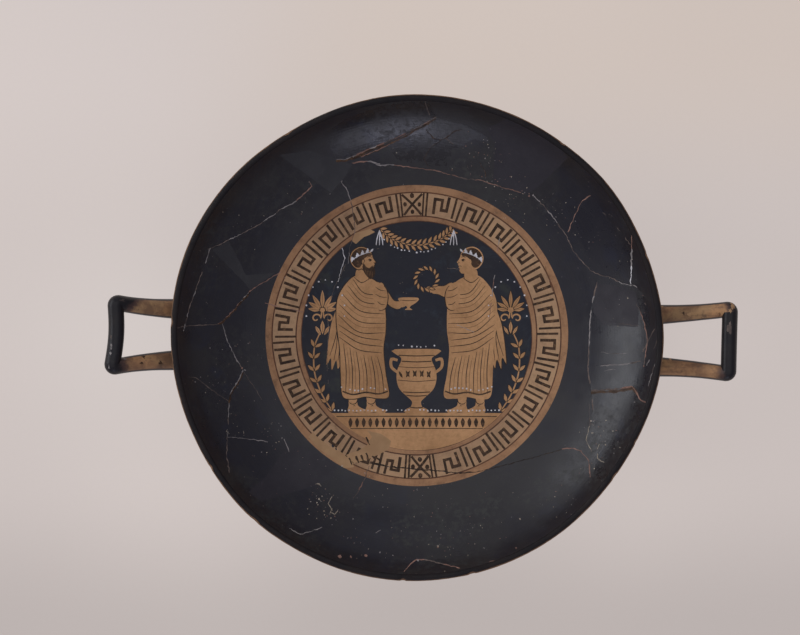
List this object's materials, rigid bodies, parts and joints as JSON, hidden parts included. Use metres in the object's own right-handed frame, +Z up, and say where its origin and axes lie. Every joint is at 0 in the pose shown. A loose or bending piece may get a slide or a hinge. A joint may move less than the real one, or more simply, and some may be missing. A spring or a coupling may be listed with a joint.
{
  "type": "kylix drinking cup",
  "caption": "Wide shallow stemmed drinking cup of black-gloss fired clay with square-ended rod handles on opposite sides and a painted picture in a patterned ring inside.",
  "frame": {"origin": "middle of the bounding box, on the plane that the foot rests on", "axes": "+Z up out of the bowl, +X along both handles towards the longer one (right in the picture), +Y towards the top of the picture"},
  "size_m": [0.3179, 0.2434, 0.0921],
  "materials": {
    "black_gloss_ceramic": "gloss"
  },
  "bodies": {
    "root": {"kylix_cup": "black_gloss_ceramic"}
  },
  "joints": []
}
